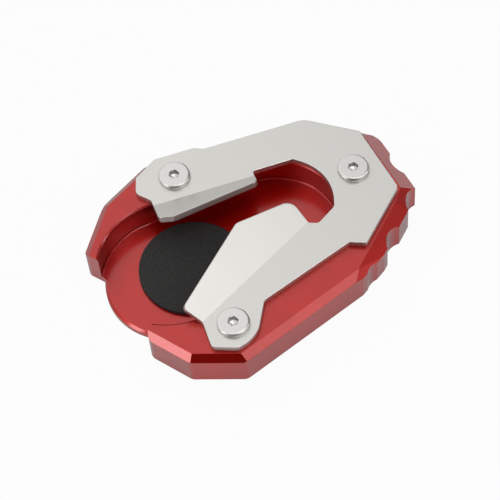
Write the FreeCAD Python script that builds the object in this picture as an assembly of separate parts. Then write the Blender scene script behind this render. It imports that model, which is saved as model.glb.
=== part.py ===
import FreeCAD, Part

import math
import os

from FreeCAD import Vector

# Kickstand pad for a motorbike side stand. A milled base holds the stand's foot in a round-ended pocket,
# and a folded sheet clamp is screwed down over the foot. All sizes are in millimetres, with Z up. The origin
# ends on the ground face, under the middle of the whole part.

# base: heights
BASE_HEIGHT = 12.0
FLOOR_THICKNESS = 2.7
GROUND_EDGE_BREAK = 0.15

# base: outline corners (x, y, corner radius), anticlockwise from the wedge at the left of the pocket mouth
LEFT_CORNER = (-52.8, 13.3, 2.5)
MOUTH_LEFT = (-48.9, 8.7, 0.0)
MOUTH_RIGHT = (-37.2, -15.4, 0.0)
NEAR_TIP = (-43.2, -21.4, 3.0)
NEAR_LEFT = (-33.0, -34.1, 3.0)
NEAR_RIGHT = (-17.4, -39.6, 3.0)
TOE_NEAR = (30.1, -21.8, 0.0)
TOE_MIDDLE = (46.8, -4.9, 0.0)
TOE_POINT = (52.0, 2.2, 0.0)
TOE_FAR = (48.1, 24.6, 5.0)
FAR_RIGHT = (27.9, 39.2, 4.0)
FAR_LEFT = (-25.8, 39.2, 4.0)
LEFT_FAR = (-42.25, 29.3, 15.0)

# base: lengths that a flat cut takes off the near toe corner, along its near side and along the toe
TOE_CUT_NEAR = 5.2
TOE_CUT_TOE = 6.0

# base: bevels of the top edge (plan width, depth)
NEAR_BEVEL = (2.1, 2.1)
LOWER_BEVEL = (2.45, 1.75)
TOE_CUT_BEVEL = (2.3, 2.4)
FAR_BEVEL = (2.0, 1.8)
TOE_BEVEL = (4.25, 2.6)
TOE_FAR_BEVEL = (4.8, 2.7)

# base: round notches along the toe; each place is a side and the distance along it
NOTCH_RADIUS = 6.0
NOTCH_DEPTH = 1.9
NOTCH_PLACES = [
    (TOE_NEAR, TOE_MIDDLE, -1.2),
    (TOE_NEAR, TOE_MIDDLE, 12.8),
    (TOE_MIDDLE, TOE_POINT, 4.7),
    (TOE_POINT, TOE_FAR, 11.4),
]

# base: pocket for the stand's foot, two round ends and the straight walls between them
POCKET_HEEL = (-28.6, 1.1)
POCKET_HEEL_RADIUS = 22.15
POCKET_TOE = (6.2, 6.0)
POCKET_TOE_RADIUS = 21.3
POCKET_EDGE_BREAK = 0.6
POCKET_FLOOR_FILLET = 0.5
LIP_RADIUS = 21.0
LIP_EDGE_BREAK = 0.8

# foam disc on the pocket floor
FOAM_CENTRE = (-21.6, 2.0)
FOAM_RADIUS = 16.85
FOAM_THICKNESS = 1.5

# clamp: sheet and folds
SHEET = 2.0
FOLD_ANGLE = 25.0
FOLD_INNER_RADIUS = 1.0
SCREW_CLEARANCE = 5.5

# clamp: ends of the two fold lines
FOLD_FAR_LEFT = (-27.7, 21.6)
FOLD_FAR_RIGHT = (5.5, 21.6)
FOLD_NEAR_LEFT = (-25.7, -24.4)
FOLD_NEAR_RIGHT = (15.7, -1.3)

# clamp: flat outline (x, y, corner radius) from the lower end of the near fold, anticlockwise
CLAMP_OUTER = [
    (-25.7, -33.4, 2.0),
    (-18.4, -36.3, 2.5),
    (-11.7, -34.3, 11.0),
    (-5.9, -23.2, 2.0),
    (24.8, -12.4, 1.0),
    (29.7, -14.5, 1.0),
    (46.1, 1.8, 3.0),
    (42.2, 26.3, 0.8),
    (26.9, 36.95, 6.0),
    (-6.4, 36.95, 2.0),
    (-9.4, 38.4, 2.0),
    (-22.5, 38.4, 1.5),
    (-29.9, 33.5, 1.0),
    (-31.6, 27.8, 2.5),
    (-27.8, 23.6, 1.5),
]
CLAMP_INNER = [
    (5.5, 23.2, 0.8),
    (18.7, 23.25, 2.0),
    (29.3, 14.6, 16.3),
    (24.9, 1.75, 1.8),
    (18.4, -2.4, 1.5),
]

# clamp: flap outlines before folding (along the fold, away from the fold, corner radius)
FAR_FLAP = [(0.0, 3.4, 2.0), (28.7, 9.5, 1.0), (33.2, 7.7, 1.5)]
NEAR_FLAP = [(-1.4, 6.8, 1.8), (29.8, 14.6, 3.0), (48.2, 8.3, 4.0)]

# screws: low flat heads with a hexagon socket that ends in a drill point, shank under the head
SCREW_PLACES = [(-18.3, 29.7), (35.2, 12.9), (-17.2, -27.8)]
SCREW_DIAMETER = 4.9
SCREW_LENGTH = 9.0
HEAD_DIAMETER = 10.0
HEAD_HEIGHT = 1.5
HEAD_ROUND = 0.7
SOCKET_ACROSS_FLATS = 3.0
SOCKET_DEPTH = 1.9
SOCKET_LAND = 0.1
SOCKET_POINT_ANGLE = 135.0
TAPPED_DIAMETER = 5.0
TAPPED_DEPTH = 8.5

# room that cutting tools run past the faces they cut, and past the ends of a bevelled side
OVERRUN = 2.0
BEVEL_OVERRUN = 10.0

# heights closer than this are the same
SAME_HEIGHT = 1e-6

CLAMP_TOP = BASE_HEIGHT + SHEET


def rounded_wire(corners, z=0.0):
    """Closed wire through corners (x, y, radius), with an arc at each corner that has a radius."""
    count = len(corners)
    stretches = []
    for i, (x, y, radius) in enumerate(corners):
        corner = Vector(x, y, z)
        before = Vector(corners[i - 1][0], corners[i - 1][1], z)
        after = Vector(corners[(i + 1) % count][0], corners[(i + 1) % count][1], z)
        back = (before - corner).normalize()
        ahead = (after - corner).normalize()
        half = back.getAngle(ahead) / 2
        inward = (back + ahead).normalize()
        start = corner + back * (radius / math.tan(half))
        end = corner + ahead * (radius / math.tan(half))
        middle = corner + inward * (radius / math.sin(half) - radius)
        stretches.append((start, middle, end, radius))
    edges = []
    for i, (start, middle, end, radius) in enumerate(stretches):
        if radius > 0:
            edges.append(Part.Arc(start, middle, end).toShape())
        edges.append(Part.makeLine(end, stretches[(i + 1) % count][0]))
    return Part.Wire(edges)


def prism(wire, height):
    return Part.Face(wire).extrude(Vector(0, 0, height))


def slot_wire(grow, z):
    """Outline of the foot pocket, grown all round by grow."""
    heel = Vector(*POCKET_HEEL, z)
    toe = Vector(*POCKET_TOE, z)
    heel_radius = POCKET_HEEL_RADIUS + grow
    toe_radius = POCKET_TOE_RADIUS + grow
    axis = toe - heel
    along = math.atan2(axis.y, axis.x)
    spread = math.acos((POCKET_HEEL_RADIUS - POCKET_TOE_RADIUS) / axis.Length)

    def rim(centre, radius, angle):
        return centre + Vector(math.cos(angle), math.sin(angle), 0) * radius

    far_heel = rim(heel, heel_radius, along + spread)
    near_heel = rim(heel, heel_radius, along - spread)
    far_toe = rim(toe, toe_radius, along + spread)
    near_toe = rim(toe, toe_radius, along - spread)
    return Part.Wire([
        Part.Arc(far_heel, rim(heel, heel_radius, along + math.pi), near_heel).toShape(),
        Part.makeLine(near_heel, near_toe),
        Part.Arc(near_toe, rim(toe, toe_radius, along), far_toe).toShape(),
        Part.makeLine(far_toe, far_heel),
    ])


def side_frame(start, end):
    """First corner of a side, its direction and its outward direction, for an anticlockwise outline."""
    corner = Vector(start[0], start[1], 0)
    along = (Vector(end[0], end[1], 0) - corner).normalize()
    outward = Vector(along.y, -along.x, 0)
    return corner, along, outward


def cut_corner(before, corner, after, near, far):
    """Ends of a flat cut across a corner, at near and far from it along its two sides."""
    place, back, _ = side_frame(corner, before)
    _, ahead, _ = side_frame(corner, after)
    first = place + back * near
    last = place + ahead * far
    return (first.x, first.y, 0.0), (last.x, last.y, 0.0)


def bevel_bar(start, end, bevel):
    """Three-sided bar that bevels the top edge of the side from start to end."""
    wide, deep = bevel
    corner, along, outward = side_frame(start, end)
    length = math.dist(start[:2], end[:2])

    def point(out, z):
        return corner + outward * out + Vector(0, 0, z) - along * BEVEL_OVERRUN

    section = Part.makePolygon([
        point(-wide * 1.5, BASE_HEIGHT + deep * 0.5),
        point(wide * 0.5, BASE_HEIGHT - deep * 1.5),
        point(wide * 0.5, BASE_HEIGHT + deep * 0.5),
        point(-wide * 1.5, BASE_HEIGHT + deep * 0.5),
    ])
    return Part.Face(section).extrude(along * (length + 2 * BEVEL_OVERRUN))


def notch(start, end, distance):
    """Upright cylinder that cuts one round notch into the side from start to end."""
    corner, along, outward = side_frame(start, end)
    centre = corner + along * distance + outward * (NOTCH_RADIUS - NOTCH_DEPTH)
    centre.z = -OVERRUN
    return Part.makeCylinder(NOTCH_RADIUS, BASE_HEIGHT + 2 * OVERRUN, centre)


def foot_pocket():
    """Pocket with a fillet round its floor and a small bevel at its top edge."""
    straight = prism(slot_wire(0.0, FLOOR_THICKNESS), BASE_HEIGHT + OVERRUN - FLOOR_THICKNESS)
    floor_edges = [edge for edge in straight.Edges if edge.BoundBox.ZMax < FLOOR_THICKNESS + SAME_HEIGHT]
    straight = straight.makeFillet(POCKET_FLOOR_FILLET, floor_edges)
    flare = Part.makeLoft([
        slot_wire(0.0, BASE_HEIGHT - POCKET_EDGE_BREAK),
        slot_wire(2 * POCKET_EDGE_BREAK, BASE_HEIGHT + POCKET_EDGE_BREAK),
    ], True, True)
    return straight.fuse(flare)


def floor_lip():
    """Round floor that shows in the pocket's open mouth, with its top and ground edges bevelled."""
    disc = Part.makeCylinder(LIP_RADIUS, FLOOR_THICKNESS, Vector(*POCKET_HEEL, 0))
    top_edge = [edge for edge in disc.Edges if edge.BoundBox.ZMin > FLOOR_THICKNESS - SAME_HEIGHT]
    ground_edge = [edge for edge in disc.Edges if edge.BoundBox.ZMax < SAME_HEIGHT]
    return disc.makeChamfer(LIP_EDGE_BREAK, top_edge).makeChamfer(GROUND_EDGE_BREAK, ground_edge)


def base_plate():
    cut_start, cut_end = cut_corner(NEAR_RIGHT, TOE_NEAR, TOE_MIDDLE, TOE_CUT_NEAR, TOE_CUT_TOE)
    outline = [
        LEFT_CORNER, MOUTH_LEFT, MOUTH_RIGHT, NEAR_TIP, NEAR_LEFT, NEAR_RIGHT,
        cut_start, cut_end, TOE_MIDDLE, TOE_POINT, TOE_FAR, FAR_RIGHT, FAR_LEFT, LEFT_FAR,
    ]
    bevels = [
        (NEAR_TIP, NEAR_LEFT, NEAR_BEVEL),
        (NEAR_LEFT, NEAR_RIGHT, NEAR_BEVEL),
        (NEAR_RIGHT, TOE_NEAR, LOWER_BEVEL),
        (cut_start, cut_end, TOE_CUT_BEVEL),
        (TOE_NEAR, TOE_MIDDLE, TOE_BEVEL),
        (TOE_MIDDLE, TOE_POINT, TOE_BEVEL),
        (TOE_POINT, TOE_FAR, TOE_FAR_BEVEL),
        (TOE_FAR, FAR_RIGHT, FAR_BEVEL),
        (FAR_RIGHT, FAR_LEFT, FAR_BEVEL),
        (FAR_LEFT, LEFT_FAR, FAR_BEVEL),
        (LEFT_FAR, LEFT_CORNER, FAR_BEVEL),
    ]
    body = prism(rounded_wire(outline), BASE_HEIGHT)
    ground_edges = [edge for edge in body.Edges if edge.BoundBox.ZMax < SAME_HEIGHT]
    body = body.makeChamfer(GROUND_EDGE_BREAK, ground_edges)
    for start, end, bevel in bevels:
        body = body.cut(bevel_bar(start, end, bevel))
    for start, end, distance in NOTCH_PLACES:
        body = body.cut(notch(start, end, distance))
    body = body.cut(foot_pocket()).fuse(floor_lip()).removeSplitter()
    for x, y in SCREW_PLACES:
        hole = Part.makeCylinder(TAPPED_DIAMETER / 2, TAPPED_DEPTH, Vector(x, y, BASE_HEIGHT - TAPPED_DEPTH))
        body = body.cut(hole)
    return body.Solids[0]


def folded_flap(start, end, corners):
    """Flap on the left of the fold line from start to end, folded up, with its bend."""
    origin = Vector(start[0], start[1], BASE_HEIGHT)
    along = (Vector(end[0], end[1], BASE_HEIGHT) - origin).normalize()
    length = math.dist(start, end)
    outline = [(0.0, 0.0, 0.0), (length, 0.0, 0.0)] + corners[::-1]
    flap = prism(rounded_wire(outline), SHEET)
    flap.Placement = FreeCAD.Placement(origin, FreeCAD.Rotation(Vector(1, 0, 0), along))
    centre = origin + Vector(0, 0, SHEET + FOLD_INNER_RADIUS)
    flap.rotate(centre, along, FOLD_ANGLE)
    section = Part.Face(Part.makePolygon([
        origin,
        origin + along * length,
        origin + along * length + Vector(0, 0, SHEET),
        origin + Vector(0, 0, SHEET),
        origin,
    ]))
    bend = section.revolve(centre, along, FOLD_ANGLE)
    return flap.fuse(bend)


def clamp_plate():
    outline = (
        [(*FOLD_NEAR_LEFT, 0.0)]
        + CLAMP_OUTER
        + [(*FOLD_FAR_LEFT, 0.0), (*FOLD_FAR_RIGHT, 0.0)]
        + CLAMP_INNER
        + [(*FOLD_NEAR_RIGHT, 0.0)]
    )
    sheet = prism(rounded_wire(outline, BASE_HEIGHT), SHEET)
    near = folded_flap(FOLD_NEAR_LEFT, FOLD_NEAR_RIGHT, NEAR_FLAP)
    far = folded_flap(FOLD_FAR_RIGHT, FOLD_FAR_LEFT, FAR_FLAP)
    sheet = sheet.fuse([near, far])
    for x, y in SCREW_PLACES:
        sheet = sheet.cut(Part.makeCylinder(SCREW_CLEARANCE / 2, SHEET, Vector(x, y, BASE_HEIGHT)))
    return sheet.removeSplitter().Solids[0]


def foam_disc():
    return Part.makeCylinder(FOAM_RADIUS, FOAM_THICKNESS, Vector(*FOAM_CENTRE, FLOOR_THICKNESS))


def screw(x, y):
    """One screw: round-edged flat head on the clamp, drilled hexagon socket, plain shank into the base."""
    seat = Vector(x, y, CLAMP_TOP)
    head = Part.makeCylinder(HEAD_DIAMETER / 2, HEAD_HEIGHT, seat)
    top_edge = [edge for edge in head.Edges if edge.BoundBox.ZMin > CLAMP_TOP + HEAD_HEIGHT - SAME_HEIGHT]
    head = head.makeFillet(HEAD_ROUND, top_edge)
    corner_radius = SOCKET_ACROSS_FLATS / math.sqrt(3)
    socket_floor = CLAMP_TOP + HEAD_HEIGHT - SOCKET_DEPTH
    corners = []
    for i in range(6):
        angle = math.radians(60 * i)
        outward = Vector(math.cos(angle), math.sin(angle), 0)
        corners.append(Vector(x, y, socket_floor) + outward * corner_radius)
    hexagon = Part.makePolygon(corners + corners[:1])
    socket = Part.Face(hexagon).extrude(Vector(0, 0, SOCKET_DEPTH + OVERRUN))
    point_radius = SOCKET_ACROSS_FLATS / 2 - SOCKET_LAND
    point_depth = point_radius / math.tan(math.radians(SOCKET_POINT_ANGLE / 2))
    point = Part.makeCone(0, point_radius, point_depth, Vector(x, y, socket_floor - point_depth))
    shank = Part.makeCylinder(SCREW_DIAMETER / 2, SCREW_LENGTH, seat - Vector(0, 0, SCREW_LENGTH))
    return head.fuse(shank).cut([socket, point]).removeSplitter().Solids[0]


def clamp_screws():
    return Part.makeCompound([screw(x, y) for x, y in SCREW_PLACES])


NODES = {
    "base_plate": base_plate,
    "clamp_plate": clamp_plate,
    "foam_disc": foam_disc,
    "clamp_screws": clamp_screws,
}

shapes = {name: build() for name, build in NODES.items()}
whole = Part.makeCompound(list(shapes.values())).BoundBox
to_origin = Vector(-whole.Center.x, -whole.Center.y, -whole.ZMin)

os.makedirs("parts", exist_ok=True)
print("moved by", to_origin, "whole size", whole.XLength, whole.YLength, whole.ZLength)
for name, shape in shapes.items():
    shape.translate(to_origin)
    shape.exportStep("parts/" + name + ".step")
    print(name, "valid", shape.isValid(), "solids", len(shape.Solids), "volume", round(shape.Volume, 1))
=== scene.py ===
import math

import bmesh
import bpy
from mathutils import Matrix, Vector


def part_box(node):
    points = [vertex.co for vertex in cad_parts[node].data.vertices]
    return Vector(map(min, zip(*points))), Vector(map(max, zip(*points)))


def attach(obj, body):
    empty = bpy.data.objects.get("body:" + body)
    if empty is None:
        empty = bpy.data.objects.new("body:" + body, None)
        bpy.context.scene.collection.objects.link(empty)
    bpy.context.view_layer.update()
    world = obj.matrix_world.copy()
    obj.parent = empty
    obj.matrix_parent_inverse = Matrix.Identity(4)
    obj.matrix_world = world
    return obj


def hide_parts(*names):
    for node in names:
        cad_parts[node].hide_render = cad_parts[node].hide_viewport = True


# Looks of a motorbike kickstand pad: a red anodised base, a stainless clamp, a foam disc and three screws.
# Everything is in metres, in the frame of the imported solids.

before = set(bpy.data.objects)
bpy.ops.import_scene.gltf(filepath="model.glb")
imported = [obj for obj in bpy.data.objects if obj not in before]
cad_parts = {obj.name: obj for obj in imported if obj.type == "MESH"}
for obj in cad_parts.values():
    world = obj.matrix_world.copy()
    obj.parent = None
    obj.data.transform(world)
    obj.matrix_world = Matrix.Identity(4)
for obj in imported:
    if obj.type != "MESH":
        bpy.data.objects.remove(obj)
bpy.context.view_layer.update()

MM = 0.001

# camera: the place the photograph was taken from
AIM = Vector((-4.09, -3.30, 12.0)) * MM
AZIMUTH = math.radians(-13.0)
ELEVATION = math.radians(56.5)
ROLL = math.radians(6.0)
DISTANCE = 550.5 * MM
LENS = 129.6
SENSOR = 36.0

# rounding of the pieces' sharp edges
BASE_EDGE = 0.055 * MM
CLAMP_EDGE = 0.20 * MM
SCREW_EDGE = 0.08 * MM
EDGE_SEGMENTS = 2
SHARP_ANGLE = math.radians(28.0)
FLAT_ANGLE = math.radians(0.5)
WELD = 0.002 * MM

# foam disc: rounded top edge, and rings that divide its flat top, as shares of its radius
FOAM_EDGE = 0.35 * MM
FOAM_EDGE_STEPS = 6
FOAM_TOP_RINGS = (0.8, 0.5, 0.25)
FOAM_STEPS = 144

# the room: white overhead, dimmer towards the ground, with dark places in front, at the right and behind
ROOM_HIGH = 0.89
ROOM_LOW = 0.45
LOW_HEIGHT = math.sin(math.radians(6.0))
HIGH_HEIGHT = math.sin(math.radians(44.0))
DARK_PLACES = [
    # azimuth, elevation, full within, none beyond, share of light left
    (-22.0, 32.0, 20.0, 49.0, 0.03),
    (104.0, 30.0, 14.0, 54.0, 0.30),
    (130.0, 12.0, 14.0, 38.0, 0.10),
]

# soft panels: azimuth and elevation in degrees, distance and size in metres, brightness against white
PANELS = [
    # bevel at the near left
    ("left_panel", -72.0, 20.5, 0.6, (0.19, 0.15), 4.0),
    # bevel along the near side
    ("right_panel", 44.0, 40.5, 0.7, (0.34, 0.22), 0.85),
    # bevels at the far end of the toe
    ("back_panel", 128.7, 8.3, 0.7, (0.16, 0.09), 1.95),
    # near flap
    ("upper_panel", 68.0, 62.0, 0.8, (0.30, 0.30), 0.8),
    # broken edges of the pocket
    ("rim_panel", 75.0, 16.0, 0.6, (0.12, 0.10), 5.0),
    # front edge of the far flap, and the floors of the screws' sockets
    ("edge_panel", 44.0, 80.0, 0.7, (0.10, 0.10), 8.0),
]

# floor: plain and pale, with the share of it that glows white to the camera and in the metal's gloss
FLOOR_REACH = 3.0
FLOOR_DROP = 0.02 * MM
FLOOR_SEEN_WHITE = 0.95
FLOOR_GLOSS_WHITE = 0.33

# colours, linear
WHITE = (1.0, 1.0, 1.0)
FLOOR_GREY = (0.85, 0.85, 0.85)
RED_DYE = (0.62, 0.006, 0.001)
STEEL = (0.865, 0.845, 0.808)
# colour of the sheet's upright faces: painted shade, darker and warmer than the steel
SHADED_SIDE_STEEL = (0.60, 0.545, 0.52)
SCREW_STEEL = (0.87, 0.855, 0.83)
# colour of the screws' upright faces: painted shade on the head sides and socket walls
SCREW_SIDE_SHADE = (0.64, 0.63, 0.61)
FOAM_BLACK = (0.034, 0.034, 0.033)


class Wire:
    """One output of a shader tree. Arithmetic on it adds Math nodes."""

    def __init__(self, tree, socket):
        self.tree = tree
        self.socket = socket

    def math(self, operation, *values):
        return self.tree.node("ShaderNodeMath", {"operation": operation}, dict(enumerate(values)))

    def __add__(self, other):
        return self.math("ADD", self, other)

    def __radd__(self, other):
        return self.math("ADD", other, self)

    def __sub__(self, other):
        return self.math("SUBTRACT", self, other)

    def __rsub__(self, other):
        return self.math("SUBTRACT", other, self)

    def __mul__(self, other):
        return self.math("MULTIPLY", self, other)

    def __rmul__(self, other):
        return self.math("MULTIPLY", other, self)

    def above(self, low, high):
        """0 below low, 1 above high, smooth between."""
        settings = {"interpolation_type": "SMOOTHSTEP"}
        inputs = {"Value": self, "From Min": low, "From Max": high}
        return self.tree.node("ShaderNodeMapRange", settings, inputs)


class Tree:
    """A node tree with one method that adds any node."""

    def __init__(self, owner):
        owner.use_nodes = True
        self.nodes = owner.node_tree.nodes
        self.links = owner.node_tree.links
        self.nodes.clear()

    def node(self, kind, settings=None, inputs=None, output=0):
        made = self.nodes.new(kind)
        for name, value in (settings or {}).items():
            setattr(made, name, value)
        for name, value in (inputs or {}).items():
            if isinstance(value, Wire):
                self.links.new(value.socket, made.inputs[name])
            else:
                made.inputs[name].default_value = value
        return Wire(self, made.outputs[output]) if made.outputs else None

    def blend(self, factor, first, second):
        """Colour from first at factor 0 to second at factor 1."""
        settings = {"data_type": "RGBA"}
        return self.node("ShaderNodeMix", settings, {0: factor, 6: first, 7: second}, output=2)

    def place(self, scale=(1.0, 1.0, 1.0)):
        """The object's own coordinates, in metres, stretched by scale."""
        where = self.node("ShaderNodeTexCoord", output=3)
        settings = {"vector_type": "POINT"}
        return self.node("ShaderNodeMapping", settings, {"Vector": where, "Scale": scale})

    def grain(self, scale, detail=2.0, stretch=(1.0, 1.0, 1.0), roughness=0.5):
        """Noise of about 1 / scale metres, from 0 to 1."""
        inputs = {"Vector": self.place(stretch), "Scale": scale, "Detail": detail, "Roughness": roughness}
        return self.node("ShaderNodeTexNoise", {"noise_dimensions": "3D"}, inputs)

    def upward(self):
        """1 on level faces, 0 on upright ones."""
        normal = self.node("ShaderNodeTexCoord", output=1)
        rise = self.node("ShaderNodeSeparateXYZ", {}, {0: normal}, output=2)
        return rise.math("ABSOLUTE", rise)

    def bump(self, height, strength, distance):
        inputs = {"Height": height, "Strength": strength, "Distance": distance}
        return self.node("ShaderNodeBump", {}, inputs)

    def surface(self, shader):
        self.node("ShaderNodeOutputMaterial", {}, {"Surface": shader})

    def principled(self, inputs):
        self.surface(self.node("ShaderNodeBsdfPrincipled", {}, inputs))


def rgba(colour, lighter=1.0):
    return tuple(min(1.0, channel * lighter) for channel in colour) + (1.0,)


def red_anodised():
    """Satin dyed layer on aluminium: saturated metal under a clear sealed skin."""
    material = bpy.data.materials.new("red_anodised")
    tree = Tree(material)
    blotch = tree.grain(90.0, detail=3.0)
    blast = tree.grain(5200.0, detail=1.0)
    colour = tree.blend(blotch.above(0.3, 0.7), rgba(RED_DYE, 0.93), rgba(RED_DYE, 1.05))
    tree.principled({
        "Base Color": colour,
        "Metallic": 1.0,
        "Roughness": 0.43 + 0.06 * blast,
        "Specular Tint": (0.0, 1.0, 1.0, 1.0),
        "Normal": tree.bump(blast, 0.12, 0.02 * MM),
        "Coat Weight": 1.0,
        "Coat Roughness": 0.18,
        "Coat IOR": 1.70,
    })
    return material


def brushed_sheet():
    """Stainless sheet with a fine rolled grain along its length, and painted shade on its upright cut
    faces.
    """
    material = bpy.data.materials.new("brushed_sheet")
    tree = Tree(material)
    lines = tree.grain(4200.0, detail=2.0, stretch=(0.02, 1.0, 1.0))
    blotch = tree.grain(70.0, detail=3.0)
    colour = tree.blend(lines.above(0.25, 0.75), rgba(STEEL, 0.985), rgba(STEEL, 1.01))
    # upright faces are coloured with painted shade; level faces keep the steel colour
    faces_up = tree.upward().above(0.5, 0.75)
    tree.principled({
        "Base Color": tree.blend(faces_up, rgba(SHADED_SIDE_STEEL), colour),
        "Metallic": 1.0,
        "Roughness": 0.47 - 0.10 * faces_up + 0.03 * lines + 0.04 * blotch,
        "Normal": tree.bump(lines, 0.03, 0.01 * MM),
    })
    return material


def screw_steel():
    """Satin turned steel, with painted shade on the upright sides of the heads and on the socket walls."""
    material = bpy.data.materials.new("screw_steel")
    tree = Tree(material)
    blotch = tree.grain(900.0, detail=2.0)
    colour = tree.blend(blotch, rgba(SCREW_STEEL, 0.97), rgba(SCREW_STEEL, 1.03))
    # upright faces, the head sides and socket walls, are coloured with painted shade
    faces_up = tree.upward().above(0.25, 0.6)
    tree.principled({
        "Base Color": tree.blend(faces_up, rgba(SCREW_SIDE_SHADE), colour),
        "Metallic": 1.0,
        "Roughness": 0.30 + 0.08 * blotch,
    })
    return material


def black_foam():
    """Fine closed-cell foam: matte, with small pits and paler specks."""
    material = bpy.data.materials.new("black_foam")
    tree = Tree(material)
    cells = tree.grain(2600.0, detail=3.0, roughness=0.6)
    specks = cells.above(0.35, 0.75)
    tree.principled({
        "Base Color": tree.blend(specks, rgba(FOAM_BLACK, 0.9), rgba(FOAM_BLACK, 2.2)),
        "Roughness": 0.92,
        "Normal": tree.bump(cells, 0.5, 0.08 * MM),
        "Specular IOR Level": 0.25,
    })
    return material


def dress(node, material, edge):
    """Gives a solid its finish, rounds its sharp edges a little and shades its broad faces evenly."""
    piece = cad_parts[node]
    piece.data.materials.clear()
    piece.data.materials.append(material)
    weld = piece.modifiers.new("weld", "WELD")
    weld.merge_threshold = WELD
    flat = piece.modifiers.new("flat", "DECIMATE")
    flat.decimate_type = "DISSOLVE"
    flat.angle_limit = FLAT_ANGLE
    rounding = piece.modifiers.new("edge", "BEVEL")
    rounding.limit_method = "ANGLE"
    rounding.angle_limit = SHARP_ANGLE
    rounding.width = edge
    rounding.segments = EDGE_SEGMENTS
    rounding.loop_slide = False
    rounding.use_clamp_overlap = False
    rounding.harden_normals = True
    shading = piece.modifiers.new("shading", "WEIGHTED_NORMAL")
    shading.mode = "FACE_AREA"
    shading.keep_sharp = True


def foam_disc(material):
    """Round pad with a soft top edge, on the pocket's floor."""
    low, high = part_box("foam_disc")
    middle = (low + high) / 2
    radius = (high.x - low.x) / 2
    profile = [(radius, low.z)]
    for i in range(FOAM_EDGE_STEPS + 1):
        turn = math.radians(90.0 * i / FOAM_EDGE_STEPS)
        out = radius - FOAM_EDGE + FOAM_EDGE * math.cos(turn)
        up = high.z - FOAM_EDGE + FOAM_EDGE * math.sin(turn)
        profile.append((out, up))
    for share in FOAM_TOP_RINGS:
        profile.append((radius * share, high.z))
    mesh = bmesh.new()
    rings = []
    for out, up in profile:
        ring = []
        for i in range(FOAM_STEPS):
            angle = 2 * math.pi * i / FOAM_STEPS
            x = middle.x + out * math.cos(angle)
            y = middle.y + out * math.sin(angle)
            ring.append(mesh.verts.new((x, y, up)))
        rings.append(ring)
    for lower, upper in zip(rings, rings[1:]):
        for i in range(FOAM_STEPS):
            j = (i + 1) % FOAM_STEPS
            mesh.faces.new((lower[i], lower[j], upper[j], upper[i]))
    mesh.faces.new(rings[-1])
    mesh.faces.new(rings[0][::-1])
    data = bpy.data.meshes.new("foam_pad")
    mesh.to_mesh(data)
    mesh.free()
    data.materials.append(material)
    for face in data.polygons:
        face.use_smooth = len(face.vertices) == 4
    piece = bpy.data.objects.new("foam_pad", data)
    bpy.context.scene.collection.objects.link(piece)
    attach(piece, "root")
    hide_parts("foam_disc")


def camera():
    """Camera at DISTANCE from AIM, turned by ROLL about its line of sight."""
    data = bpy.data.cameras.new("camera")
    data.lens = LENS
    data.sensor_width = SENSOR
    away = Vector((
        math.sin(AZIMUTH) * math.cos(ELEVATION),
        -math.cos(AZIMUTH) * math.cos(ELEVATION),
        math.sin(ELEVATION),
    ))
    level = Vector((math.cos(AZIMUTH), math.sin(AZIMUTH), 0.0))
    rise = away.cross(level)
    right = level * math.cos(ROLL) - rise * math.sin(ROLL)
    up = rise * math.cos(ROLL) + level * math.sin(ROLL)
    turn = Matrix((right, up, away)).transposed().to_4x4()
    piece = bpy.data.objects.new("camera", data)
    bpy.context.scene.collection.objects.link(piece)
    piece.matrix_world = Matrix.Translation(AIM + away * DISTANCE) @ turn
    bpy.context.scene.camera = piece


def towards(azimuth, elevation):
    """Unit vector from the object, azimuth 0 in front and 90 at the right, in degrees."""
    a = math.radians(azimuth)
    e = math.radians(elevation)
    return Vector((math.sin(a) * math.cos(e), -math.cos(a) * math.cos(e), math.sin(e)))


def softbox(name, azimuth, elevation, distance, size, brightness):
    """Soft panel that faces the object and looks brightness times as bright as white."""
    data = bpy.data.lights.new(name, "AREA")
    data.shape = "RECTANGLE"
    data.size, data.size_y = size
    data.energy = brightness * math.pi * size[0] * size[1]
    away = towards(azimuth, elevation)
    piece = bpy.data.objects.new(name, data)
    bpy.context.scene.collection.objects.link(piece)
    piece.location = AIM + away * distance
    piece.rotation_euler = away.to_track_quat("Z", "Y").to_euler()
    piece.visible_camera = False


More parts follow.
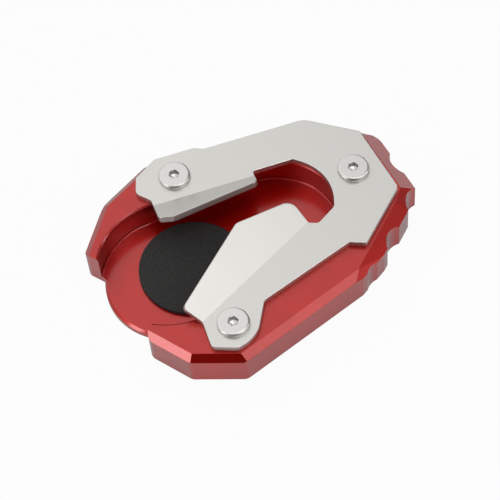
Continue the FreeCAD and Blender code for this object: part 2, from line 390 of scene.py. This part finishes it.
def studio():
    """Soft room light with its panels."""
    world = bpy.data.worlds.new("studio")
    bpy.context.scene.world = world
    tree = Tree(world)
    direction = tree.node("ShaderNodeTexCoord", output=0)
    height = tree.node("ShaderNodeSeparateXYZ", {}, {0: direction}, output=2)
    level = ROOM_LOW + (ROOM_HIGH - ROOM_LOW) * height.above(LOW_HEIGHT, HIGH_HEIGHT)
    for azimuth, elevation, full, none, left in DARK_PLACES:
        facing = {0: direction, 1: towards(azimuth, elevation)}
        near = tree.node("ShaderNodeVectorMath", {"operation": "DOT_PRODUCT"}, facing, output=1)
        near = near.above(math.cos(math.radians(none)), math.cos(math.radians(full)))
        level = level * (1.0 - (1.0 - left) * near)
    camera_ray = tree.node("ShaderNodeLightPath", output="Is Camera Ray")
    room = tree.node("ShaderNodeCombineColor", {}, {0: level, 1: level, 2: level})
    colour = tree.blend(camera_ray, room, rgba(WHITE))
    shader = tree.node("ShaderNodeBackground", {}, {"Color": colour})
    tree.node("ShaderNodeOutputWorld", {}, {"Surface": shader})
    for panel in PANELS:
        softbox(*panel)


def floor():
    """Square floor just under the object, which takes its shadow."""
    mesh = bpy.data.meshes.new("floor")
    corners = [(x * FLOOR_REACH, y * FLOOR_REACH, 0.0) for x, y in ((-1, -1), (1, -1), (1, 1), (-1, 1))]
    mesh.from_pydata(corners, [], [(0, 1, 2, 3)])
    material = bpy.data.materials.new("floor")
    tree = Tree(material)
    diffuse = tree.node("ShaderNodeBsdfDiffuse", {}, {"Color": rgba(FLOOR_GREY)})
    glow = tree.node("ShaderNodeEmission", {}, {"Color": rgba(WHITE), "Strength": 1.0})
    camera_ray = tree.node("ShaderNodeLightPath", output="Is Camera Ray")
    glossy_ray = tree.node("ShaderNodeLightPath", output="Is Glossy Ray")
    share = FLOOR_SEEN_WHITE * camera_ray + FLOOR_GLOSS_WHITE * glossy_ray
    tree.surface(tree.node("ShaderNodeMixShader", {}, {0: share, 1: diffuse, 2: glow}))
    mesh.materials.append(material)
    piece = bpy.data.objects.new("floor", mesh)
    piece.location.z = -FLOOR_DROP
    bpy.context.scene.collection.objects.link(piece)


dress("base_plate", red_anodised(), BASE_EDGE)
dress("clamp_plate", brushed_sheet(), CLAMP_EDGE)
dress("clamp_screws", screw_steel(), SCREW_EDGE)
foam_disc(black_foam())
camera()
studio()
floor()

bpy.context.scene.view_settings.view_transform = "Standard"
